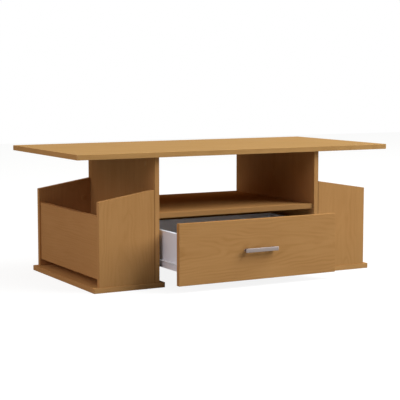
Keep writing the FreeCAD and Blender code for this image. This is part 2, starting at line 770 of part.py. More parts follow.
def cam_lock(thickness):
    """Drum with a screwdriver slot in its face and a way in for the bolt."""
    radius = number("sizes.cam_radius")
    depth = number(f"{thickness} - sizes.cam_floor - sizes.hole_rest")
    drum = Part.makeCylinder(radius, depth)
    axis = FreeCAD.Vector(0, 0, number(f"{thickness} / 2"))
    entry = Part.makeCylinder(number("sizes.bolt_bore"), 2 * radius, axis, FreeCAD.Vector(1, 0, 0))
    seat = Part.makeSphere(number("sizes.bolt_bore"), axis)
    blade = number("sizes.cam_slot")
    driver = Part.makeBox(2 * radius, blade, number("sizes.cam_slot_depth"),
                          FreeCAD.Vector(-radius, -blade / 2, 0))
    return drum.cut([entry, seat, driver])


def cam_cap():
    """Cover cap: a disc on the board's face with a blade that grips the cam's slot."""
    radius = number("sizes.cap_radius")
    height = number("sizes.cap_height")
    rounding = number("sizes.cap_round")
    disc = lathe([(0, 0), (radius, 0), (radius, rounding - height), (radius - rounding, -height), (0, -height)])
    length = number("sizes.cap_blade_length")
    blade = number("sizes.cap_blade")
    grip = Part.makeBox(length, blade, number("sizes.cap_blade_depth"),
                        FreeCAD.Vector(-length / 2, -blade / 2, 0))
    return disc.fuse(grip)


def cam_group(label, shape, spots):
    """Cams and their caps stand at their bores with the bolt's way in turned to the bolt."""
    copies = []
    for at, inward, way in spots:
        axes = FreeCAD.Rotation(FreeCAD.Vector(*way), FreeCAD.Vector(), FreeCAD.Vector(*inward), "ZXY")
        copies.append(shape.copy().transformed(FreeCAD.Placement(point(at), axes).toMatrix()))
    item = doc.addObject("Part::Feature", label)
    item.Shape = Part.makeCompound(copies)
    keep(item, label)


def dowel_pin():
    radius = number("sizes.dowel_radius")
    nose = number("sizes.dowel_bite")
    tail = -number("sizes.dowel_tail")
    lead = number("sizes.dowel_lead")
    return lathe([(0, tail), (radius - lead, tail), (radius, tail + lead), (radius, nose - lead),
                  (radius - lead, nose), (0, nose)])


def sunk_screw(name):
    """Countersunk screw that starts at the face of the board."""
    radius = number(f"sizes.{name}_radius")
    head = number(f"sizes.{name}_head")
    length = number(f"sizes.{name}_length")
    return lathe([(0, 0), (head, 0), (radius, head - radius), (radius, length - radius), (0, length)])


def cap_screw(radius, head, cap, length):
    """Screw whose low head stands on the face that it holds."""
    crown = number("sizes.screw_crown")
    return lathe([(0, -cap), (head - crown, -cap), (head, crown - cap), (head, 0), (radius, 0),
                  (radius, length - radius), (0, length)])


for owner, thickness in (("", "sizes.board"), ("drawer_", "sizes.drawer_board")):
    group(f"{owner}cam_bolts", cam_bolt(), bolt_spots[owner])
    cam_group(f"{owner}cam_locks", cam_lock(thickness), cam_spots[owner])
    group(f"{owner}wood_dowels", dowel_pin(), dowel_spots[owner])
open_cams = [spot for spot in cam_spots[""] if spot[1] != UP]
cam_group("cam_caps", cam_cap(), open_cams)
group("base_screws", sunk_screw("base_screw"), base_screw_spots)
group("drawer_back_screws", sunk_screw("side_screw"), side_screw_spots)

small_radius = number("sizes.small_screw_radius")
small_head = number("sizes.small_screw_head")
small_cap = number("sizes.small_screw_cap")
for label, length, spots in (
        ("cabinet_runner_screws", "sizes.runner_steel + sizes.runner_screw_bite", cabinet_screw_spots),
        ("drawer_runner_screws", "sizes.runner_steel + sizes.member_screw_bite", member_screw_spots),
        ("drawer_bottom_screws", "sizes.bottom_board + sizes.bottom_screw_bite", bottom_screw_spots)):
    group(label, cap_screw(small_radius, small_head, small_cap, number(length)), spots)
handle_radius = number("sizes.handle_screw_radius")
handle_length = number("sizes.board + sizes.handle_screw_bite")
group("handle_screws", cap_screw(handle_radius, 2 * handle_radius, handle_radius, handle_length),
      handle_screw_spots)

doc.recompute()

# Nothing is written unless every piece is sound
faults = [item.Name for item in doc.Objects if "Invalid" in item.State or "Error" in item.State]
faults += [item.Label for item in parts if item.Shape.isNull() or not item.Shape.isValid()]
if faults:
    raise RuntimeError("unsound: " + ", ".join(faults))

os.makedirs("parts", exist_ok=True)
for item in parts:
    item.Shape.exportStep(f"parts/{item.Label}.step")
print(len(parts), "pieces written")
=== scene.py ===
import bpy
import bmesh
import json
import math
from mathutils import Matrix, Vector


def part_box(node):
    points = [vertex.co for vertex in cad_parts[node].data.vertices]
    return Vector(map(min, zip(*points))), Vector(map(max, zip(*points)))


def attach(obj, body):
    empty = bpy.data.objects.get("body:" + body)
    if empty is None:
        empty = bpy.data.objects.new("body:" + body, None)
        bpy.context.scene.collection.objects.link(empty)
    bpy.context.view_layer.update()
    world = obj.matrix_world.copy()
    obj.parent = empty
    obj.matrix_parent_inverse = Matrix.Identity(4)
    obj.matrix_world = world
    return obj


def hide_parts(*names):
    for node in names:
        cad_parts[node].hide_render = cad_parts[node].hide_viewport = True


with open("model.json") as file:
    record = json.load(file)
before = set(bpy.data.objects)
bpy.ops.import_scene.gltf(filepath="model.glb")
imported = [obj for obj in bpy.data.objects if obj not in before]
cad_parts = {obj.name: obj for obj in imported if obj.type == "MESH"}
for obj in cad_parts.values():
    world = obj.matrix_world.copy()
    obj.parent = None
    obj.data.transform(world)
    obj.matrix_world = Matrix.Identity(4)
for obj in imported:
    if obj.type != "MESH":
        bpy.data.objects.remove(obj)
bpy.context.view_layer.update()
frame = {"nodes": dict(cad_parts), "record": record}
nodes = frame["nodes"]
hands = ("left", "right")
mm = 0.001


# Camera at the photograph's angle

cameraLook = {
    "place": (-1.8827, -3.3489, 0.6436),
    "tiltDegrees": 83.91,
    "turnDegrees": -28.85,
    "lens": 107.54,
    "sensor": 36.0,
    "clip": (0.05, 60.0),
}


def setCamera():
    lensData = bpy.data.cameras.new("photoCamera")
    lensData.lens = cameraLook["lens"]
    lensData.sensor_width = cameraLook["sensor"]
    lensData.clip_start, lensData.clip_end = cameraLook["clip"]
    camera = bpy.data.objects.new("photoCamera", lensData)
    camera.location = cameraLook["place"]
    tilt = math.radians(cameraLook["tiltDegrees"])
    turn = math.radians(cameraLook["turnDegrees"])
    camera.rotation_euler = (tilt, 0, turn)
    bpy.context.scene.collection.objects.link(camera)
    bpy.context.scene.camera = camera
    bpy.context.scene.view_settings.view_transform = "Standard"


# Shader maths: a Value is one socket, and an expression on Values adds its Math nodes

class Value:
    def __init__(self, tree, socket):
        self.tree = tree
        self.socket = socket

    def maths(self, operation, *others):
        node = self.tree.nodes.new("ShaderNodeMath")
        node.operation = operation
        for slotIndex, part in enumerate((self,) + others):
            fillSocket(self.tree, node.inputs[slotIndex], part)
        return Value(self.tree, node.outputs[0])

    def flipped(self, operation, first):
        node = self.tree.nodes.new("ShaderNodeMath")
        node.operation = operation
        fillSocket(self.tree, node.inputs[0], first)
        fillSocket(self.tree, node.inputs[1], self)
        return Value(self.tree, node.outputs[0])

    def __add__(self, other):
        return self.maths("ADD", other)

    def __radd__(self, other):
        return self.flipped("ADD", other)

    def __sub__(self, other):
        return self.maths("SUBTRACT", other)

    def __rsub__(self, other):
        return self.flipped("SUBTRACT", other)

    def __mul__(self, other):
        return self.maths("MULTIPLY", other)

    def __rmul__(self, other):
        return self.flipped("MULTIPLY", other)

    def __truediv__(self, other):
        return self.maths("DIVIDE", other)

    def __rtruediv__(self, other):
        return self.flipped("DIVIDE", other)

    def __pow__(self, other):
        return self.maths("POWER", other)

    def __abs__(self):
        return self.maths("ABSOLUTE")

    def above(self, limit):
        return self.maths("GREATER_THAN", limit)

    def least(self, other):
        return self.maths("MINIMUM", other)

    def most(self, other):
        return self.maths("MAXIMUM", other)

    def wave(self, spacing):        # a sine wave between 0 and 1
        return (self * (math.tau / spacing)).maths("SINE") * 0.5 + 0.5

    def ramp(self, low, high):      # 0 below low, 1 above high, smooth between
        return addNode(self.tree, "ShaderNodeMapRange", {"interpolation_type": "SMOOTHSTEP"},
                       {"Value": self, "From Min": low, "From Max": high}, "Result")


def fillSocket(tree, socket, content):
    if isinstance(content, Value):
        tree.links.new(content.socket, socket)
    else:
        socket.default_value = content


def addNode(tree, kind, settings=None, inputs=None, output=0):
    node = tree.nodes.new(kind)
    for setting, choice in (settings or {}).items():
        setattr(node, setting, choice)
    for socket, content in (inputs or {}).items():
        fillSocket(tree, node.inputs[socket], content)
    return Value(tree, node.outputs[output])


def mixColours(tree, share, first, second):
    return addNode(tree, "ShaderNodeMix", {"data_type": "RGBA", "clamp_factor": True},
                   {0: share, 6: first, 7: second}, 2)


flatFacing = (0.90, 0.975)          # how square to an axis a surface is where a rounding runs out into a flat


class Finish:
    def __init__(self, name, **constants):
        self.material = bpy.data.materials.new(name)
        self.material.use_nodes = True
        self.tree = self.material.node_tree
        self.shader = self.tree.nodes["Principled BSDF"]
        for socket, content in constants.items():
            self.shader.inputs[socket.replace("_", " ")].default_value = content

    def node(self, kind, settings=None, inputs=None, output=0):
        return addNode(self.tree, kind, settings, inputs, output)

    def place(self):                # object coordinates in millimetres
        coordinates = self.node("ShaderNodeTexCoord", None, None, "Object")
        return self.node("ShaderNodeVectorMath", {"operation": "SCALE"},
                         {0: coordinates, "Scale": 1 / mm})

    def axes(self, vector):
        split = self.node("ShaderNodeSeparateXYZ", None, {0: vector})
        return [Value(self.tree, socket) for socket in split.socket.node.outputs]

    def facing(self):               # how squarely the surface faces X, Y and Z
        normal = self.node("ShaderNodeTexCoord", None, None, "Normal")
        return [abs(part) for part in self.axes(normal)]

    def roundedEdge(self):          # 1 on the small roundings between two flat faces
        x, y, z = self.facing()
        return 1 - x.most(y).most(z).ramp(*flatFacing)

    def vector(self, x, y, z):
        return self.node("ShaderNodeCombineXYZ", None, {0: x, 1: y, 2: z})

    def noise(self, at, scale, detail=2.0, roughness=0.5):
        return self.node("ShaderNodeTexNoise", None,
                         {"Vector": at, "Scale": scale, "Detail": detail, "Roughness": roughness})

    def colours(self, share, first, second):
        return mixColours(self.tree, share, first, second)

    def feed(self, socket, content):
        fillSocket(self.tree, self.shader.inputs[socket], content)

    def bump(self, height, relief):         # relief: the depth in millimetres, and the strength
        depth, strength = relief
        normal = self.node("ShaderNodeBump", None,
                           {"Height": height, "Distance": depth * mm, "Strength": strength})
        self.feed("Normal", normal)

    def coat(self, look, share, rough, height):     # two shades, a changing roughness and a shallow relief
        first, second = look["shades"]
        self.feed("Base Color", self.colours(share, first, second))
        self.feed("Roughness", look["roughness"] + rough)
        self.bump(height, look["relief"])
        return self.material


def rgb(red, green, blue):
    return (red, green, blue, 1.0)


# Stage: pale floor, white world, a key lamp at the front right, weaker ones at the left and low behind

stageLook = {
    "white": rgb(1, 1, 1),
    "skyTop": 1.32,             # light from overhead
    "skyFade": 8.0,             # how fast it fades towards the sides
    "skyRear": 0.60,
    "topTint": rgb(0.80, 1.10, 1.10),
    "rearTint": rgb(1.80, 0.80, 0.40),
    "faintSky": 0.001,          # keeps the tints' share off a division by zero
    "floorSize": 14.0,
    "floorBounce": rgb(0.32, 0.32, 0.32),       # the floor as it lights the object
    "floorLit": rgb(0.16, 0.16, 0.16),          # the floor as it is seen, under its glow
    "floorGlow": 0.88,
    "lampAim": (0.0, 0.06, 0.2),
    "lamps": {
        "keyLamp": {"place": (4.11, -2.67, 4.27), "size": 5.8, "power": 588.0, "tint": (1.0, 1.0, 1.0)},
        "sideLamp": {"place": (-3.6, 0.35, 1.5), "size": 2.9, "power": 29.0, "tint": (1.0, 0.93, 0.93)},
        "fillLamp": {"place": (-3.2, -1.6, 2.0), "size": 1.8, "power": 21.0, "tint": (1.0, 0.78, 0.84)},
        "rearLamp": {"place": (1.2, 3.2, 0.11), "size": 0.2, "power": 2.3, "tint": (1.0, 1.0, 1.0),
                     "spreadDegrees": 50.0},
    },
}


def seenDirectly(tree):
    rays = tree.nodes.new("ShaderNodeLightPath")
    camera = Value(tree, rays.outputs["Is Camera Ray"])
    glossy = Value(tree, rays.outputs["Is Glossy Ray"])
    through = Value(tree, rays.outputs["Is Transmission Ray"])
    return camera.most(glossy).most(through)


def setWorld():
    world = bpy.data.worlds.new("paleRoom")
    bpy.context.scene.world = world
    world.use_nodes = True
    tree = world.node_tree
    background = tree.nodes["Background"]
    way = addNode(tree, "ShaderNodeTexCoord", None, None, "Generated")
    y, z = [addNode(tree, "ShaderNodeSeparateXYZ", None, {0: way}, axis) for axis in (1, 2)]
    overhead = z.most(0.0) ** stageLook["skyFade"] * stageLook["skyTop"]
    sky = overhead + y.most(0.0) * z.most(0.0) * stageLook["skyRear"]
    shown = seenDirectly(tree)
    fillSocket(tree, background.inputs["Strength"], shown + (1 - shown) * sky)
    overheadShare = overhead / (sky + stageLook["faintSky"])
    tint = mixColours(tree, overheadShare, stageLook["rearTint"], stageLook["topTint"])
    fillSocket(tree, background.inputs["Color"], mixColours(tree, shown, tint, stageLook["white"]))


def setFloor():
    bpy.ops.object.select_all(action="DESELECT")
    bpy.ops.mesh.primitive_plane_add(size=stageLook["floorSize"], location=(0, 0, 0))
    floor = bpy.context.object
    floor.name = "paleFloor"
    material = bpy.data.materials.new("paleFloor")
    material.use_nodes = True
    tree = material.node_tree
    tree.nodes.remove(tree.nodes["Principled BSDF"])
    dull = addNode(tree, "ShaderNodeBsdfDiffuse", None, {"Color": stageLook["floorBounce"]})
    shaded = addNode(tree, "ShaderNodeBsdfDiffuse", None, {"Color": stageLook["floorLit"]})
    glow = addNode(tree, "ShaderNodeEmission", None,
                   {"Color": stageLook["white"], "Strength": stageLook["floorGlow"]})
    pale = addNode(tree, "ShaderNodeAddShader", None, {0: shaded, 1: glow})
    mixed = addNode(tree, "ShaderNodeMixShader", None, {0: seenDirectly(tree), 1: dull, 2: pale})
    tree.links.new(mixed.socket, tree.nodes["Material Output"].inputs["Surface"])
    floor.data.materials.append(material)


def setLamps():
    for name, look in stageLook["lamps"].items():
        lampData = bpy.data.lights.new(name, "AREA")
        lampData.shape = "DISK"
        lampData.size = look["size"]
        lampData.energy = look["power"]
        lampData.spread = math.radians(look.get("spreadDegrees", 180.0))
        lampData.color = look["tint"]
        lamp = bpy.data.objects.new(name, lampData)
        lamp.location = look["place"]
        aim = Vector(stageLook["lampAim"]) - lamp.location
        lamp.rotation_euler = aim.to_track_quat("-Z", "Y").to_euler()
        bpy.context.scene.collection.objects.link(lamp)


# Beech: printed facing with faint growth rings, long streaks and the short flecks of the wood

beechLook = {
    "pale": rgb(0.532, 0.284, 0.1035),
    "deep": rgb(0.398, 0.194, 0.0610),
    "edging": -0.10,            # tone of a board's edges: below 0 paler, above 0 deeper
    "flat": (0.6, 0.8),         # how squarely a board's face lies, against its edges
    "fleck": rgb(0.270, 0.131, 0.046),
    "fleckShare": 0.30,
    # seam colour on the roundings: partly the glue line of the facing, partly painted shade along the edges
    # and in the groove where box panels meet uprights
    "seamAndPaintedShading": rgb(0.200, 0.095, 0.030),
    "edgeLineAndPaintedShading": 0.12,
    "paintedFrontJointShade": 0.0,
    "paintedJointShade": 0.85,
    "jointPlane": 294.0,        # where the box panels meet the uprights
    "paintedJointWidth": (1.0, 2.5),
    "facingDepth": 1.1,         # thickness of the printed facing and its edging
    "core": rgb(0.420, 0.300, 0.180),
    "coreDark": rgb(0.220, 0.140, 0.075),
    "chips": (0.9, 2.0, 0.7),
    "chipTones": (0.35, 0.65),
    "gloss": 0.06,
    "roughness": {"base": 0.78, "fine": 0.10, "flecks": 0.08, "core": 0.1},
    "height": {"fine": 0.4, "flecks": 0.6},
    "relief": (0.06, 0.6),
    "figure": 0.20,             # how far the rings show
    "ringSpacing": 8.0,
    "ringPower": 2.2,
    "taper": 0.075,
    "heartDepth": 46.0,
    "wander": 30.0,
    "swell": 22.0,
    "ripple": 14.0,
    "showing": (0.35, 0.70),
    "flecks": (0.60, 0.74),
    "tones": {"rings": 0.05, "streaks": 0.50, "clouds": 0.40, "fine": 0.26, "shift": 0.28},
    "seedStep": 0.37,
    "noises": {                 # scale along and across the grain, seed, detail, roughness
        "drift": (0.0042, 0.016, 0.0, 2.0, 0.5),
        "swell": (0.011, 0.03, 3.1, 1.0, 0.5),
        "showing": (0.006, 0.025, 11.0, 1.0, 0.5),
        "streaks": (0.0035, 0.12, 0.0, 3.0, 0.6),
        "fine": (0.03, 1.1, 0.0, 2.0, 0.6),
        "clouds": (0.008, 0.02, 7.7, 1.0, 0.5),
        "flecks": (0.30, 3.2, 0.0, 1.0, 0.5),
    },
}

# One entry a board: which way its grain runs, which way it faces, where the heart of its figure lies,
# and whatever differs from the beech above
boards = {
    # The table top's pale and deep carry less red than the common beech: painted light, a lit copy of the
    # beech for the brightly lit top.
    "table_top": {"grain": "x", "face": "z", "heart": 95.0, "pale": rgb(0.462, 0.275, 0.103),
                  "deep": rgb(0.345, 0.188, 0.0605)},
    # The edge band's paler seam colour and larger share on its roundings are painted light, lifting its
    # shaded rounded corner.
    "table_top_edge_band": {"grain": "x", "face": "z", "heart": 410.0, "pale": rgb(0.550, 0.318, 0.118),
                            "deep": rgb(0.411, 0.217, 0.0695), "edging": 0.15, "facingDepth": 6.0,
                            "seamAndPaintedShading": rgb(0.80, 0.50, 0.20), "edgeLineAndPaintedShading": 0.6},
    # The shelf's pale and deep are darker than the common beech: painted shade of the bay under the top; its
    # paler edging lifts its front edge back towards the common tone.
    "shelf": {"grain": "x", "face": "z", "heart": 20.0, "pale": rgb(0.435, 0.230, 0.084),
              "deep": rgb(0.325, 0.157, 0.049), "edging": -0.45, "gloss": 0.0},
    "rear_panel": {"grain": "x", "face": "y", "heart": 120.0},
    "drawer_front": {"grain": "x", "face": "y", "heart": 122.0, "edging": 0.35, "figure": 0.34},
    "base_plate": {"grain": "y", "face": "z", "heart": 340.0, "edging": -0.25},
    "upright": {"grain": "z", "face": "x", "heart": 60.0, "paintedFrontJointShade": 0.45},
    "front_panel": {"grain": "z", "face": "y", "heart": 395.0, "paintedFrontJointShade": 0.45},
    "back_panel": {"grain": "z", "face": "y", "heart": 360.0},
    "outer_panel": {"grain": "y", "face": "x", "heart": 140.0},
}
slopedBoards = ("front_panel", "back_panel")
edgeReach = 3.0                 # points this near a sloped board's upright edge belong to it


def slopedTop(node):                # a sloping edge: its level at X = 0, and its fall for each mm outwards
    points = [vertex.co / mm for vertex in nodes[node].data.vertices]
    inner = min(abs(point.x) for point in points)
    outer = max(abs(point.x) for point in points)
    innerTop = max(point.z for point in points if abs(point.x) < inner + edgeReach)
    outerTop = max(point.z for point in points if abs(point.x) > outer - edgeReach)
    fall = (innerTop - outerTop) / (outer - inner)
    return innerTop + inner * fall, fall


def boardPlan(node):                # the board's own entry over the common one
    name = node
    for hand in hands:
        name = name.removeprefix(f"{hand}_")
    plan = dict(beechLook, **boards[name])
    plan["box"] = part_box(node)
    if node.startswith("left_"):
        plan["heart"] = -plan["heart"]
    if name in slopedBoards:
        plan["slope"] = slopedTop(node)
    return plan


def grainAxes(finish, parts, board):        # along and across the grain, on faces, edges and ends alike
    grain = "xyz".index(board["grain"])
    face = "xyz".index(board["face"])
    across = 3 - grain - face
    flat = finish.facing()[face].ramp(*board["flat"])
    along = parts[grain] + parts[across] * (1 - flat)
    side = parts[across] * flat + parts[face] * (1 - flat)
    return along, side, 1 - flat


def beechFigure(finish, along, side, board):
    heart = board["heart"]
    noises = {}
    for name, (lengthwise, crosswise, seed, detail, roughness) in board["noises"].items():
        at = finish.vector(along * lengthwise, side * crosswise, seed + board["seedStep"] * heart)
        noises[name] = finish.noise(at, 1.0, detail, roughness)
    drift = noises["drift"] - 0.5
    swell = noises["swell"] - 0.5
    off = side - heart + drift * board["wander"]
    depth = board["heartDepth"] + along * board["taper"] + swell * board["swell"]
    radius = (off * off + depth * depth) ** 0.5 + drift * board["ripple"]
    rings = radius.wave(board["ringSpacing"]) ** board["ringPower"]
    showing = noises["showing"].ramp(*board["showing"])
    flecks = noises["flecks"].ramp(*board["flecks"])
    tones = board["tones"]
    tone = rings * (tones["rings"] + showing * board["figure"])
    for name in ("streaks", "clouds", "fine"):
        tone = tone + noises[name] * tones[name]
    return tone - tones["shift"], noises["fine"], flecks


def chipCore(finish, place, parts, board):  # raw chipboard wherever a bore goes deeper than the facing
    low, high = board["box"]
    depth = None
    for axis in range(3):
        nearest = (parts[axis] - low[axis] / mm).least(high[axis] / mm - parts[axis])
        depth = nearest if depth is None else depth.least(nearest)
    if "slope" in board:
        level, fall = board["slope"]
        depth = depth.least(level - abs(parts[0]) * fall - parts[2])
    core = depth.above(board["facingDepth"])
    chips = finish.noise(place, *board["chips"]).ramp(*board["chipTones"])
    return core, finish.colours(chips, board["coreDark"], board["core"])


def dressBoard(node):
    board = boardPlan(node)
    finish = Finish(f"beech_{node}", Specular_IOR_Level=board["gloss"])
    place = finish.place()
    parts = finish.axes(place)
    along, side, edging = grainAxes(finish, parts, board)
    tone, fine, flecks = beechFigure(finish, along, side, board)
    wood = finish.colours(tone + edging * board["edging"], board["pale"], board["deep"])
    wood = finish.colours(flecks * board["fleckShare"], wood, board["fleck"])
    # Painted shading on the roundings: the seam colour darkens them as glue line and painted edge shade, and
    # on the edge band it lightens the shaded corner as painted light. Beside the joint of box panel and
    # upright, the roundings and front faces are darkened as painted shade of the groove.
    paintedJointMask = 1 - abs(abs(parts[0]) - board["jointPlane"]).ramp(*board["paintedJointWidth"])
    seamAndPaintedShading = finish.roundedEdge() * (board["edgeLineAndPaintedShading"] + paintedJointMask * board["paintedJointShade"])
    seamAndPaintedShading = seamAndPaintedShading.most(paintedJointMask * finish.facing()[1] * board["paintedFrontJointShade"])
    wood = finish.colours(seamAndPaintedShading, wood, board["seamAndPaintedShading"])
    core, chips = chipCore(finish, place, parts, board)
    rough, height = board["roughness"], board["height"]
    finish.feed("Base Color", finish.colours(core, wood, chips))
    printed = rough["base"] + fine * rough["fine"] + flecks * rough["flecks"]
    finish.feed("Roughness", printed + core * rough["core"])
    finish.bump(fine * height["fine"] - flecks * height["flecks"] + core * flecks, board["relief"])
    return finish.material


# White-faced chipboard of the drawer

whiteLook = {
    "face": rgb(0.87, 0.91, 0.98),
    "shade": rgb(0.83, 0.87, 0.94),
    "line": rgb(0.50, 0.49, 0.48),
    "lineShare": 0.35,
    "mottle": 0.02,
    "peel": (1.3, 1.0),
    "gloss": 0.15,
    "roughness": {"base": 0.48, "mottle": 0.08, "core": 0.3},
    "relief": (0.03, 0.5),
}


def dressWhite(node):
    finish = Finish(f"white_{node}", Specular_IOR_Level=whiteLook["gloss"])
    place = finish.place()
    parts = finish.axes(place)
    mottle = finish.noise(place, whiteLook["mottle"])
    peel = finish.noise(place, *whiteLook["peel"])
    white = finish.colours(mottle, whiteLook["shade"], whiteLook["face"])
    white = finish.colours(finish.roundedEdge() * whiteLook["lineShare"], white, whiteLook["line"])
    core, chips = chipCore(finish, place, parts, dict(beechLook, box=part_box(node)))
    rough = whiteLook["roughness"]
    finish.feed("Base Color", finish.colours(core, white, chips))
    finish.feed("Roughness", rough["base"] + mottle * rough["mottle"] + core * rough["core"])
    finish.bump(peel, whiteLook["relief"])
    return finish.material


# Hardboard bottom of the drawer, with a raw, mesh-pressed underside

bottomLook = {
    # face and shade are mid grey in place of the white lacquer: painted shade of the drawer's dim inside
    "face": rgb(0.50, 0.50, 0.50),
    "shade": rgb(0.46, 0.46, 0.45),
    "raw": rgb(0.235, 0.135, 0.070),
    "rawDark": rgb(0.130, 0.070, 0.035),
    "rawTo": (2.6, 2.8),        # height where the raw board ends and the white face starts
    "mottle": 0.03,
    "fibres": (0.8, 3.0, 0.65),
    "fibreShare": 0.7,
    "fibreHeight": 0.2,
    "meshPitch": 1.6,
    "meshShare": 0.2,
    "gloss": 0.15,
    "roughness": {"base": 0.48, "raw": 0.35, "mottle": 0.05},
    "relief": (0.08, 0.5),
}


def dressHardboard(node):
    finish = Finish(f"hardboard_{node}", Specular_IOR_Level=bottomLook["gloss"])
    place = finish.place()
    parts = finish.axes(place)
    mottle = finish.noise(place, bottomLook["mottle"])
    fibres = finish.noise(place, *bottomLook["fibres"])
    threads = [(part * (math.tau / bottomLook["meshPitch"])).maths("SINE") for part in parts[:2]]
    mesh = threads[0].most(threads[1])
    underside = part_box(node)[0].z / mm
    raw = 1 - (parts[2] - underside).ramp(*bottomLook["rawTo"])
    pressed = fibres * bottomLook["fibreShare"] + mesh * bottomLook["meshShare"]
    # painted shade: the face's grey stands for the shade inside the drawer
    paintedShadeGrey = finish.colours(mottle, bottomLook["shade"], bottomLook["face"])
    brown = finish.colours(pressed, bottomLook["rawDark"], bottomLook["raw"])
    rough = bottomLook["roughness"]
    finish.feed("Base Color", finish.colours(raw, paintedShadeGrey, brown))
    finish.feed("Roughness", rough["base"] + raw * rough["raw"] + mottle * rough["mottle"])
    finish.bump(fibres * bottomLook["fibreHeight"] + mesh * raw, bottomLook["relief"])
    return finish.material


# Metal fittings: a satin handle, zinc-plated screws and cast cams

satinLook = {
    "shades": (rgb(0.240, 0.203, 0.190), rgb(0.290, 0.245, 0.230)),
    "brushAlong": 0.05,
    "brushAcross": 6.0,
    "brush": (1.0, 3.0, 0.7),
    "brushShare": 0.6,
    "clouds": 0.06,
    "cloudShare": 0.4,
    "roughness": 0.36,
    "brushRough": 0.16,
    "relief": (0.02, 0.4),
}


def dressSatin(node):               # brushed along the bar
    finish = Finish(f"satin_{node}", Metallic=1.0)
    place = finish.place()
    x, y, z = finish.axes(place)
    along, across = satinLook["brushAlong"], satinLook["brushAcross"]
    brushed = finish.noise(finish.vector(x * along, y * across, z * across), *satinLook["brush"])
    clouds = finish.noise(place, satinLook["clouds"])
    share = brushed * satinLook["brushShare"] + clouds * satinLook["cloudShare"]
    return finish.coat(satinLook, share, brushed * satinLook["brushRough"], brushed)


platedLook = {
    "shades": (rgb(0.64, 0.65, 0.67), rgb(0.50, 0.50, 0.49)),
    "bloom": (0.35, 3.0),
    "dull": (0.35, 0.7),
    "scratches": (4.0, 2.0, 0.7),
    "roughness": 0.24,
    "bloomRough": 0.20,
    "scratchRough": 0.08,
    "relief": (0.01, 0.4),
}


def dressPlated(node):
    finish = Finish(f"plated_{node}", Metallic=1.0)
    place = finish.place()
    bloom = finish.noise(place, *platedLook["bloom"])
    scratches = finish.noise(place, *platedLook["scratches"])
    rough = bloom * platedLook["bloomRough"] + scratches * platedLook["scratchRough"]
    return finish.coat(platedLook, bloom.ramp(*platedLook["dull"]), rough, scratches)


zincLook = {
    "shades": (rgb(0.42, 0.42, 0.43), rgb(0.54, 0.54, 0.55)),
    "casting": (1.4, 3.0, 0.65),
    "castShare": 0.4,
    "bloom": 0.15,
    "bloomShare": 0.6,
    "roughness": 0.40,
    "castRough": 0.18,
    "relief": (0.04, 0.5),
}


def dressZinc(node):
    finish = Finish(f"zinc_{node}", Metallic=1.0)
    place = finish.place()
    cast = finish.noise(place, *zincLook["casting"])
    bloom = finish.noise(place, zincLook["bloom"])
    share = bloom * zincLook["bloomShare"] + cast * zincLook["castShare"]
    return finish.coat(zincLook, share, cast * zincLook["castRough"], cast)


# Powder-coated runners, nylon rollers, plastic caps and raw dowels

coatedLook = {
    "shades": (rgb(0.90, 0.92, 0.97), rgb(0.94, 0.96, 1.00)),
    "peel": (0.9, 1.0),
    "peelShare": 0.3,
    "mottle": 0.05,
    "mottleShare": 0.7,
    "gloss": 0.3,
    "roughness": 0.36,
    "peelRough": 0.10,
    "relief": (0.06, 0.5),
}


def dressCoated(node):              # powder coat with its orange peel
    finish = Finish(f"coated_{node}", Specular_IOR_Level=coatedLook["gloss"])
    place = finish.place()
    peel = finish.noise(place, *coatedLook["peel"])
    mottle = finish.noise(place, coatedLook["mottle"])
    share = mottle * coatedLook["mottleShare"] + peel * coatedLook["peelShare"]
    return finish.coat(coatedLook, share, peel * coatedLook["peelRough"], peel)


nylonLook = {
    "shades": (rgb(0.80, 0.80, 0.76), rgb(0.66, 0.65, 0.60)),
    "wornFrom": 0.6,            # how far inside the tread the polish starts and ends
    "wornTo": 0.1,
    "wornShare": 0.5,
    "mottle": 0.4,
    "mottleShare": 0.3,
    "marks": 9.0,               # turning marks, in radians for each mm
    "markHeight": 0.3,
    "mottleHeight": 0.5,
    "gloss": 0.35,
    "roughness": 0.48,
    "wornRough": 0.16,
    "mottleRough": 0.08,
    "relief": (0.03, 0.4),
}


def dressNylon(node):               # turning marks round the axle and a tread polished by the track
    low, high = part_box(node)
    axle = (low + high) / 2 / mm
    tread = (high.z - low.z) / 2 / mm
    finish = Finish(f"nylon_{node}", Specular_IOR_Level=nylonLook["gloss"])
    place = finish.place()
    y, z = finish.axes(place)[1:]
    radius = ((y - axle.y) ** 2.0 + (z - axle.z) ** 2.0) ** 0.5
    marks = radius.wave(math.tau / nylonLook["marks"])
    worn = radius.ramp(tread - nylonLook["wornFrom"], tread - nylonLook["wornTo"])
    mottle = finish.noise(place, nylonLook["mottle"])
    share = worn * nylonLook["wornShare"] + mottle * nylonLook["mottleShare"]
    rough = mottle * nylonLook["mottleRough"] - worn * nylonLook["wornRough"]
    height = marks * nylonLook["markHeight"] + mottle * nylonLook["mottleHeight"]
    return finish.coat(nylonLook, share, rough, height)


capFinish = {
    "shades": (rgb(0.500, 0.262, 0.086), rgb(0.440, 0.224, 0.070)),
    "grit": (2.5, 1.0),
    "mottle": 0.2,
    "gloss": 0.15,
    "roughness": 0.58,
    "gritRough": 0.12,
    "relief": (0.03, 0.5),
}


def dressCap(node):
    finish = Finish(f"cap_{node}", Specular_IOR_Level=capFinish["gloss"])
    place = finish.place()
    grit = finish.noise(place, *capFinish["grit"])
    mottle = finish.noise(place, capFinish["mottle"])
    return finish.coat(capFinish, mottle, grit * capFinish["gritRough"], grit)


dowelFinish = {
    "shades": (rgb(0.47, 0.30, 0.16), rgb(0.62, 0.43, 0.25)),
    "pores": (2.2, 3.0, 0.7),
    "poreShare": 0.6,
    "clouds": 0.15,
    "cloudShare": 0.4,
    "gloss": 0.1,
    "roughness": 0.62,
    "poreRough": 0.15,
    "relief": (0.05, 0.5),
}


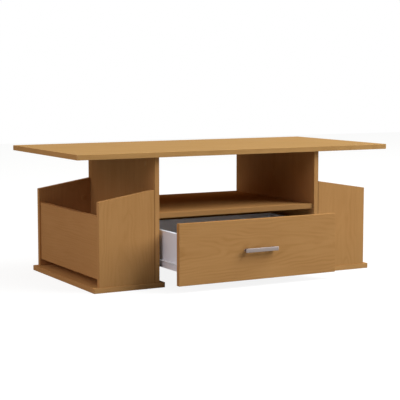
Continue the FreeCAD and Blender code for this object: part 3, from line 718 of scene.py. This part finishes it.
def dressDowel(node):
    finish = Finish(f"dowel_{node}", Specular_IOR_Level=dowelFinish["gloss"])
    place = finish.place()
    pores = finish.noise(place, *dowelFinish["pores"])
    clouds = finish.noise(place, dowelFinish["clouds"])
    share = pores * dowelFinish["poreShare"] + clouds * dowelFinish["cloudShare"]
    return finish.coat(dowelFinish, share, pores * dowelFinish["poreRough"], pores)


slotFinishes = {
    "beech_board": dressBoard,
    "beech_edging": dressBoard,
    "white_board": dressWhite,
    "white_hardboard": dressHardboard,
    "satin_metal": dressSatin,
    "beech_plastic": dressCap,
    "white_steel": dressCoated,
    "nylon": dressNylon,
    "zinc": dressZinc,
    "steel": dressPlated,
    "dowel_wood": dressDowel,
}


def dressNodes():
    for entry in frame["record"]["subparts"]:
        mesh = nodes[entry["node"]].data
        mesh.materials.clear()
        mesh.materials.append(slotFinishes[entry["material_slot"]](entry["node"]))
    print(len(nodes), "nodes dressed")


# Modelled pieces: each stands for one CAD node, in the node's own place

bodies = frame["record"]["behaviour"]["bodies"]
bodyOf = {node: body for body, members in bodies.items() for node in members}
tiny = 0.002 * mm
smoothDegrees = 35


def standFor(piece, node):          # rides, replaces and is finished as its node
    piece.data.materials.clear()
    piece.data.materials.append(nodes[node].data.materials[0])
    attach(piece, bodyOf[node])
    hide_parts(node)


def edit(piece):                    # this piece alone is selected, in edit mode
    bpy.ops.object.select_all(action="DESELECT")
    bpy.context.view_layer.objects.active = piece
    piece.select_set(True)
    bpy.ops.object.mode_set(mode="EDIT")


def pick(piece, kind, chosen):      # selects the points or edges that the test chooses
    bpy.ops.mesh.select_mode(type=kind)
    bpy.ops.mesh.select_all(action="DESELECT")
    bpy.ops.object.mode_set(mode="OBJECT")
    for part in piece.data.edges if kind == "EDGE" else piece.data.vertices:
        part.select = chosen(part)
    bpy.ops.object.mode_set(mode="EDIT")


def finishMode():
    bpy.ops.object.mode_set(mode="OBJECT")
    bpy.ops.object.shade_smooth_by_angle(angle=math.radians(smoothDegrees))


def applyModifier(piece, kind, **settings):
    modifier = piece.modifiers.new(kind.lower(), kind)
    for setting, choice in settings.items():
        setattr(modifier, setting, choice)
    bpy.context.view_layer.objects.active = piece
    bpy.ops.object.modifier_apply(modifier=modifier.name)


def combine(piece, tool, operation):
    applyModifier(piece, "BOOLEAN", object=tool, operation=operation, solver="EXACT")
    bpy.data.objects.remove(tool)


def boxed(name, low, high):         # a cube at its size and place
    bpy.ops.object.select_all(action="DESELECT")
    bpy.ops.mesh.primitive_cube_add(size=1, location=(low + high) / 2, scale=high - low)
    piece = bpy.context.object
    piece.name = name
    bpy.ops.object.transform_apply(location=True, rotation=True, scale=True)
    return piece


def drawn(name, profile):           # a chain of points: millimetres along the Z axis and out from it
    bpy.ops.object.select_all(action="DESELECT")
    bpy.ops.mesh.primitive_plane_add(size=mm)
    piece = bpy.context.object
    piece.name = name
    bpy.ops.object.mode_set(mode="EDIT")
    bpy.ops.mesh.select_mode(type="VERT")
    bpy.ops.mesh.merge(type="CENTER")
    places = [Vector((out, 0, along)) * mm for along, out in profile]
    bpy.ops.transform.translate(value=places[0])
    for last, place in zip(places, places[1:]):
        bpy.ops.mesh.extrude_region_move(TRANSFORM_OT_translate={"value": place - last})
    return piece


def closeMesh():
    bpy.ops.mesh.select_all(action="SELECT")
    bpy.ops.mesh.remove_doubles(threshold=tiny)
    bpy.ops.mesh.normals_make_consistent(inside=False)
    bpy.ops.object.mode_set(mode="OBJECT")


def turned(name, profile, sides):   # the chain spun round the Z axis
    piece = drawn(name, profile)
    bpy.ops.mesh.select_all(action="SELECT")
    bpy.ops.mesh.spin(steps=sides, angle=math.tau, center=(0, 0, 0), axis=(0, 0, 1))
    closeMesh()
    return piece


threadLook = {
    "coreShare": 0.72,          # of the thread's outer radius
    "sunk": 0.15,               # how deep the rib's root lies in the core
    "halfWidth": 0.36,          # of the pitch
}


def threadRib(start, stop, core, crest, pitch, sides):     # a three-sided rib wound up the Z axis
    root = core - threadLook["sunk"]
    half = pitch * threadLook["halfWidth"]
    section = [(start - half, root), (start, crest), (start + half, root), (start - half, root)]
    rib = drawn("threadRib", section)
    bpy.ops.mesh.select_all(action="SELECT")
    bpy.ops.mesh.remove_doubles(threshold=tiny)
    bpy.ops.object.mode_set(mode="OBJECT")
    applyModifier(rib, "SCREW", axis="Z", angle=math.tau, screw_offset=pitch * mm, steps=sides,
                  render_steps=sides, iterations=int((stop - start) / pitch), use_merge_vertices=False)
    bpy.ops.object.mode_set(mode="EDIT")
    bpy.ops.mesh.select_all(action="SELECT")
    bpy.ops.mesh.fill_holes(sides=3)
    closeMesh()
    return rib


driverLook = {
    "overrun": 0.5,             # how far the blade starts outside the head
    "taper": 0.45,
}


def cutCross(piece, across, width, depth):      # recess for a cross-head driver, in the face at the origin
    taper = driverLook["taper"]
    for reach in (Vector((across, width, 0)), Vector((width, across, 0))):
        low = (Vector((0, 0, -driverLook["overrun"])) - reach / 2) * mm
        high = (Vector((0, 0, depth)) + reach / 2) * mm
        blade = boxed("driverBlade", low, high)
        edit(blade)
        pick(blade, "VERT", lambda corner: corner.co.z > 0)
        bpy.ops.transform.resize(value=(taper, taper, 1), center_override=(0, 0, depth * mm))
        bpy.ops.object.mode_set(mode="OBJECT")
        combine(piece, blade, "DIFFERENCE")


def corners(points):                # the lowest and the highest corner round them
    return (Vector([min(point[axis] for point in points) for axis in range(3)]),
            Vector([max(point[axis] for point in points) for axis in range(3)]))


def looseParts(node):               # the points of each solid in a node, in an order that every run repeats
    copy = bmesh.new()
    copy.from_mesh(nodes[node].data)
    bmesh.ops.remove_doubles(copy, verts=copy.verts, dist=tiny)
    seen = set()
    parts = []
    for start in copy.verts:
        if start in seen:
            continue
        group, fresh = set(), {start}
        while fresh:
            group |= fresh
            fresh = {edge.other_vert(vertex) for vertex in fresh for edge in vertex.link_edges} - group
        seen |= group
        parts.append(sorted([vertex.co.copy() for vertex in group], key=tuple))
    copy.free()
    return sorted(parts, key=lambda part: tuple(round(level, 5) for level in corners(part)[0]))


def placeOf(points):                # at a fitting's wide end, with Z along it to its narrow end
    low, high = corners(points)
    size = high - low
    axis = max(range(3), key=lambda way: abs(size[way] - sorted(size)[1]))
    centre = (low + high) / 2

    def farthest(level):            # the point furthest from the fitting's axis, near one end
        offsets = [point - centre for point in points if abs(point[axis] - level) < mm]
        for offset in offsets:
            offset[axis] = 0
        return max(offsets, key=lambda offset: offset.length)

    forwards = farthest(low[axis]).length >= farthest(high[axis]).length
    wideEnd, narrowEnd = (low, high) if forwards else (high, low)
    along = Vector()
    along[axis] = 1 if forwards else -1
    blade = farthest(narrowEnd[axis])
    across = Vector()
    across[max({0, 1, 2} - {axis}, key=lambda way: abs(blade[way]))] = 1
    centre[axis] = wideEnd[axis]
    turn = Matrix((across, along.cross(across), along)).transposed().to_4x4()
    return Matrix.Translation(centre) @ turn


def copyTo(master, name, places):   # every copy has its own mesh before they are joined
    bpy.ops.object.select_all(action="DESELECT")
    for place in places:
        copy = master.copy()
        copy.data = master.data.copy()
        copy.matrix_world = place
        bpy.context.scene.collection.objects.link(copy)
        copy.select_set(True)
        bpy.context.view_layer.objects.active = copy
    bpy.data.objects.remove(master)
    if len(places) > 1:
        bpy.ops.object.join()
    bpy.ops.object.transform_apply(location=True, rotation=True, scale=True)
    piece = bpy.context.object
    piece.name = name
    finishMode()
    return piece


def fitOut(node, name, master, turnDegrees=0):      # a copy at each solid, each turned on from the last
    places = [placeOf(part) for part in looseParts(node)]
    step = math.radians(turnDegrees)
    places = [place @ Matrix.Rotation(index * step, 4, "Z") for index, place in enumerate(places)]
    standFor(copyTo(master, name, places), node)


# Handle: a flat bar whose front turns back at its ends, on two waisted posts

handleLook = {
    "endRound": 4.0,
    "endSegments": 8,
    "softEdge": 0.9,
    "softSegments": 3,
    "postCorner": 2.2,
    "postSegments": 5,
    "postWaist": 0.80,
    "waistEase": 0.6,
    "waistRings": (0.1, 0.2, 0.35, 0.5, 0.65, 0.8, 0.9),
    "screwRadius": 2.15,
    "screwDepth": 10.0,
    "screwOverrun": 1.0,
    "screwSides": 24,
}


def endsOf(piece, edge):
    return [piece.data.vertices[index].co for index in edge.vertices]


def makeHandleBar():
    low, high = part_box("handle_bar")
    bar = boxed("handleBar", low, high)

    def frontCorner(edge):
        first, last = endsOf(bar, edge)
        return abs(first.z - last.z) > mm and first.y < low.y + tiny

    edit(bar)
    pick(bar, "EDGE", frontCorner)
    bpy.ops.mesh.bevel(offset=handleLook["endRound"] * mm, segments=handleLook["endSegments"], affect="EDGES")
    bpy.ops.object.mode_set(mode="OBJECT")
    applyModifier(bar, "BEVEL", width=handleLook["softEdge"] * mm, segments=handleLook["softSegments"],
                  limit_method="ANGLE")
    finishMode()
    standFor(bar, "handle_bar")


def makeHandlePost(low, high):
    centre = (low + high) / 2
    length = high.y - low.y
    post = boxed("handlePost", low, high)

    def longEdge(edge):
        first, last = endsOf(post, edge)
        return abs(first.y - last.y) > mm

    edit(post)
    pick(post, "EDGE", longEdge)
    bpy.ops.mesh.bevel(offset=handleLook["postCorner"] * mm, segments=handleLook["postSegments"],
                       affect="EDGES")
    rings = [low.y + length * share for share in handleLook["waistRings"]]
    for ring in rings:
        bpy.ops.mesh.select_all(action="SELECT")
        bpy.ops.mesh.bisect(plane_co=(0, ring, 0), plane_no=(0, 1, 0))
    for ring in rings:
        draw = math.sin(math.pi * (ring - low.y) / length) ** handleLook["waistEase"]
        narrow = 1 - (1 - handleLook["postWaist"]) * draw
        pick(post, "VERT", lambda corner: abs(corner.co.y - ring) < tiny)
        bpy.ops.transform.resize(value=(narrow, 1, narrow), center_override=centre)
    bpy.ops.object.mode_set(mode="OBJECT")
    start, depth, radius = -handleLook["screwOverrun"], handleLook["screwDepth"], handleLook["screwRadius"]
    bore = turned("screwBore", [(start, 0), (start, radius), (depth, radius), (depth, 0)],
                  handleLook["screwSides"])
    end = Matrix.Translation((centre.x, high.y, centre.z))
    bore.matrix_world = end @ Matrix.Rotation(math.pi / 2, 4, "X")
    combine(post, bore, "DIFFERENCE")
    return post


def makeHandlePosts():
    posts = [makeHandlePost(*corners(part)) for part in looseParts("handle_posts")]
    bpy.ops.object.select_all(action="DESELECT")
    for post in posts:
        post.select_set(True)
    bpy.context.view_layer.objects.active = posts[0]
    bpy.ops.object.join()
    posts[0].name = "handlePosts"
    finishMode()
    standFor(posts[0], "handle_posts")


# Rollers: nylon, dished between hub and tread, with rounded shoulders

rollerLook = {
    "bore": 2.7,
    "boreEdge": 0.3,
    "hub": 5.0,
    "hubEdge": (0.2, 0.25),     # each pair: along the axle and out from it
    "hubFoot": (0.2, 0.35),
    "hubDraft": 0.1,
    "dish": 0.8,
    "rimFoot": (0.25, 0.4),
    "rimEdge": (0.15, 0.25),
    "shoulder": 0.8,
    "shoulderDegrees": (22.5, 45, 67.5, 90),
    "sides": 64,
}


def makeRoller(node, name):
    low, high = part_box(node)
    tread = (high.z - low.z) / 2 / mm
    half = (high.x - low.x) / 2 / mm
    bore, hub, shoulder = rollerLook["bore"], rollerLook["hub"], rollerLook["shoulder"]
    floor = half - rollerLook["dish"]
    rim = tread - shoulder
    boreEdge = rollerLook["boreEdge"]
    hubEdge, hubFoot = rollerLook["hubEdge"], rollerLook["hubFoot"]
    rimEdge, rimFoot = rollerLook["rimEdge"], rollerLook["rimFoot"]
    profile = [(half - boreEdge, bore), (half, bore + boreEdge),
               (half, hub - hubEdge[1]), (half - hubEdge[0], hub),
               (floor + hubFoot[0], hub + rollerLook["hubDraft"]), (floor, hub + hubFoot[1]),
               (floor, rim - shoulder - rimFoot[1]), (floor + rimFoot[0], rim - shoulder),
               (half - rimEdge[0], rim - rimEdge[1]), (half, rim)]
    for step in rollerLook["shoulderDegrees"]:
        turn = math.radians(step)
        profile.append((half - shoulder * (1 - math.cos(turn)), rim + shoulder * math.sin(turn)))
    profile += [(-along, out) for along, out in reversed(profile)]
    roller = turned("rollerMaster", profile + profile[:1], rollerLook["sides"])
    place = Matrix.Translation((low + high) / 2) @ Matrix.Rotation(math.pi / 2, 4, "Y")
    standFor(copyTo(roller, name, [place]), node)


# Cover caps: domed discs, each with a blade in the slot of its cam

capLook = {
    "radius": 8.6,
    "height": 1.2,
    "dome": ((0.0, 0.0), (0.03, 0.35), (0.12, 0.65), (0.28, 0.85), (0.50, 0.95), (0.80, 1.0), (1.0, 1.0)),
    "bladeLength": 10.0,
    "bladeWidth": 1.0,
    "bladeEnd": 2.8,
    "bladeOverlap": 0.3,
    "sides": 48,
}


def makeCaps():
    radius, height = capLook["radius"], capLook["height"]
    profile = [(along * height, out * radius) for along, out in capLook["dome"]] + [(height, 0)]
    cap = turned("capMaster", profile, capLook["sides"])
    half = Vector((capLook["bladeLength"], capLook["bladeWidth"], 0)) / 2
    start = Vector((0, 0, height - capLook["bladeOverlap"]))
    end = Vector((0, 0, capLook["bladeEnd"]))
    blade = boxed("capBlade", (start - half) * mm, (end + half) * mm)
    combine(cap, blade, "UNION")
    fitOut("cam_caps", "coverCaps", cap)


# Screws: sunk or raised cross-head, each with its rib wound up the shank; only a raised head has a cap

screwLook = {
    "base_screws": {"name": "baseScrews", "radius": 3.2, "head": 5.0, "length": 50.0,
                    "plain": 15.0, "pitch": 3.0},
    "drawer_back_screws": {"name": "backScrews", "radius": 2.0, "head": 4.0, "length": 40.0,
                           "plain": 11.0, "pitch": 1.9},
    "cabinet_runner_screws": {"name": "channelScrews", "radius": 1.75, "head": 3.2, "cap": 1.0,
                              "length": 14.2, "plain": 2.6, "pitch": 1.5},
    "drawer_runner_screws": {"name": "trackScrews", "radius": 1.75, "head": 3.2, "cap": 1.0,
                             "length": 10.2, "plain": 2.6, "pitch": 1.5},
    "drawer_bottom_screws": {"name": "bottomScrews", "radius": 1.75, "head": 3.2, "cap": 1.0,
                             "length": 16.0, "plain": 2.6, "pitch": 1.5},
    "handle_screws": {"name": "handleScrews", "radius": 2.0, "head": 4.0, "cap": 2.0,
                      "length": 27.0, "plain": 12.0, "pitch": 1.0},
}
screwShape = {
    "raisedHead": ((0.0, 0.0), (0.06, 0.45), (0.27, 0.80), (0.60, 1.0), (1.0, 1.0)),
    "sunkEdge": 0.2,
    "sunkRim": 0.35,
    "runOut": 0.4,              # from the plain shank down to the core
    "tip": 1.6,                 # length of the point, in radii
    "crossReach": 1.15,         # the recess, in head radii
    "crossWidth": 0.24,
    "crossDepth": 0.5,
    "deepestShare": 0.9,        # a thin head limits it to this share of its height, and a little more
    "deepestSpare": 0.4,
    "turnDegrees": 37,
    "sides": 24,
}


def makeScrews(node):
    look = screwLook[node]
    radius, head, length, pitch = look["radius"], look["head"], look["length"], look["pitch"]
    plain = look["plain"]
    core = radius * threadLook["coreShare"]
    tip = length - radius * screwShape["tip"]
    cap = look.get("cap")
    if cap:
        profile = [(rise * cap, out * head) for rise, out in screwShape["raisedHead"]] + [(cap, radius)]
    else:
        edge, rim = screwShape["sunkEdge"], screwShape["sunkRim"]
        profile = [(0, 0), (0, head - edge), (edge, head), (rim, head), (head - radius + rim, radius)]
    profile += [(plain, radius), (plain + screwShape["runOut"], core), (tip, core), (length, 0)]
    screw = turned("screwMaster", profile, screwShape["sides"])
    rib = threadRib(plain + pitch, tip, core, radius, pitch, screwShape["sides"])
    combine(screw, rib, "UNION")
    deepest = (cap or head) * screwShape["deepestShare"] + screwShape["deepestSpare"]
    cutCross(screw, head * screwShape["crossReach"], head * screwShape["crossWidth"],
             min(head * screwShape["crossDepth"], deepest))
    fitOut(node, look["name"], screw, screwShape["turnDegrees"])


# Cam bolts: ball head, neck, collar and thread

boltLook = {
    "head": 3.4,
    "ball": ((0, -0.7), (0.2, -0.25), (0.7, 0.0), (1.3, 0.0), (2.2, -0.6)),     # out from the head's radius
    "neck": 2.0,
    "neckFrom": 3.0,
    "collarFrom": 21.0,
    "collarTo": 24.0,
    "collarEdge": 0.3,
    "thread": 2.5,
    "pitch": 2.2,
    "threadStop": 1.4,
    "tip": 1.6,
    "length": 34.5,
    "crossReach": 1.1,
    "crossWidth": 0.26,
    "crossDepth": 1.1,
    "turnDegrees": 23,
    "sides": 28,
}


def makeBolts(node, name):
    head, neck, thread = boltLook["head"], boltLook["neck"], boltLook["thread"]
    first, last, length = boltLook["collarFrom"], boltLook["collarTo"], boltLook["length"]
    edge, pitch = boltLook["collarEdge"], boltLook["pitch"]
    core = thread * threadLook["coreShare"]
    profile = [(0, 0)] + [(along, head + out) for along, out in boltLook["ball"]]
    profile += [(boltLook["neckFrom"], neck), (first, neck), (first, head - edge), (first + edge, head),
                (last - edge, head), (last, head - edge), (last, core),
                (length - boltLook["tip"], core), (length, 0)]
    bolt = turned("boltMaster", profile, boltLook["sides"])
    rib = threadRib(last + pitch, length - boltLook["threadStop"], core, thread, pitch, boltLook["sides"])
    combine(bolt, rib, "UNION")
    cutCross(bolt, head * boltLook["crossReach"], head * boltLook["crossWidth"], boltLook["crossDepth"])
    fitOut(node, name, bolt, boltLook["turnDegrees"])


# Dowels: fluted beech, tapered at both ends

dowelLook = {
    "radius": 4.0,
    "length": 29.0,
    "lead": 1.0,
    "flutes": 14,
    "fluteDepth": 0.30,
}


def makeDowels(node, name):
    radius, length, lead = dowelLook["radius"], dowelLook["length"], dowelLook["lead"]
    profile = [(0, 0), (0, radius - lead), (lead, radius), (length / 2, radius), (length - lead, radius),
               (length, radius - lead), (length, 0)]
    dowel = turned("dowelMaster", profile, 2 * dowelLook["flutes"])
    step = math.pi / dowelLook["flutes"]

    def inFlute(corner):
        around = round(math.atan2(corner.co.y, corner.co.x) / step)
        return corner.co.xy.length > (radius - lead) * mm - tiny and around % 2 == 1

    edit(dowel)
    pick(dowel, "VERT", inFlute)
    inward = 1 - dowelLook["fluteDepth"] / radius
    bpy.ops.transform.resize(value=(inward, inward, 1), center_override=(0, 0, 0))
    bpy.ops.object.mode_set(mode="OBJECT")
    fitOut(node, name, dowel)


# Roller pins: plain shanks with domed, riveted heads

pinLook = {
    "shank": 2.5,
    "head": 4.0,
    "headDepth": 0.7,
    "dome": ((0.05, 0.45), (0.18, 0.75), (0.40, 0.95), (0.55, 1.0)),    # depth, share of the head's radius
    "endEdge": 0.3,
    "sides": 40,
}


def makePins(node, name):
    low, high = corners(looseParts(node)[0])
    length = (high.x - low.x) / mm
    head, deep, shank, edge = pinLook["head"], pinLook["headDepth"], pinLook["shank"], pinLook["endEdge"]
    profile = [(0, 0)] + [(along, head * share) for along, share in pinLook["dome"]]
    profile += [(deep, head), (deep, shank), (length - edge, shank), (length, shank - edge), (length, 0)]
    fitOut(node, name, turned("pinMaster", profile, pinLook["sides"]))


def makePieces():
    makeHandleBar()
    makeHandlePosts()
    for hand in hands:
        makeRoller(f"{hand}_cabinet_roller", f"{hand}CabinetRoller")
        makeRoller(f"{hand}_drawer_roller", f"{hand}DrawerRoller")
    print("handle and rollers modelled")
    makeCaps()
    for node in screwLook:
        makeScrews(node)
    makeBolts("cam_bolts", "camBolts")
    makeBolts("drawer_cam_bolts", "drawerCamBolts")
    makeDowels("wood_dowels", "woodDowels")
    makeDowels("drawer_wood_dowels", "drawerDowels")
    makePins("cabinet_roller_pins", "channelPins")
    makePins("drawer_roller_pins", "trackPins")
    print("fittings modelled")


setCamera()
setWorld()
setFloor()
setLamps()
print("stage set")
dressNodes()
makePieces()
